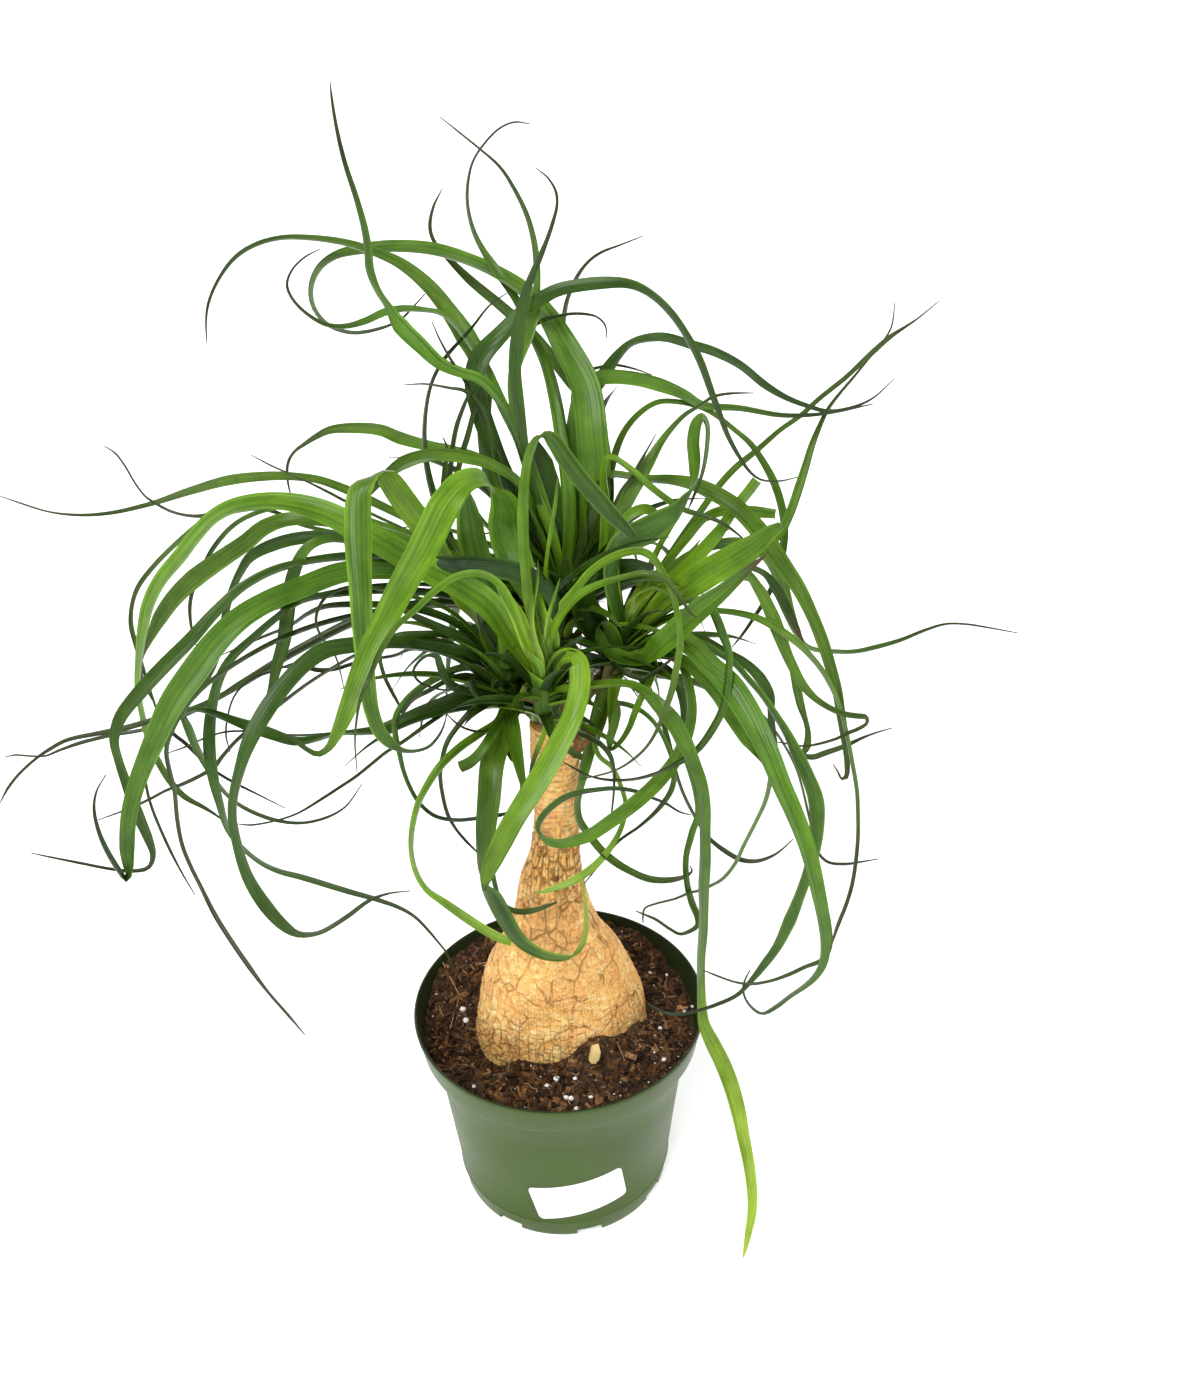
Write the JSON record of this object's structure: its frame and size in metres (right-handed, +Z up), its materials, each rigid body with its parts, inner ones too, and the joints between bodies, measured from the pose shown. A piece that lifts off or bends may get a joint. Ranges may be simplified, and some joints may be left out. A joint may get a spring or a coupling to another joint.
{
  "type": "potted ponytail palm",
  "caption": "Ponytail palm with a swollen tan trunk and long arching strap leaves in leafy shoots, standing in soil in a round green nursery pot with a flared rim band.",
  "frame": {"origin": "centre of the flat underside of the pot", "axes": "+Z up along the trunk; -Y is the side with the sticker; +X is to the right when the sticker faces the viewer"},
  "size_m": [0.5784, 0.3404, 0.6038],
  "materials": {
    "pot_plastic": "satin",
    "soil_mix": "matte",
    "bark": "matte",
    "label_paper": "matte",
    "leaf": "satin"
  },
  "bodies": {
    "root": {"pot": "pot_plastic", "soil": "soil_mix", "trunk": "bark", "label": "label_paper", "leaves_front": "leaf", "leaves_left": "leaf", "leaves_right": "leaf", "leaves_back": "leaf"}
  },
  "joints": []
}
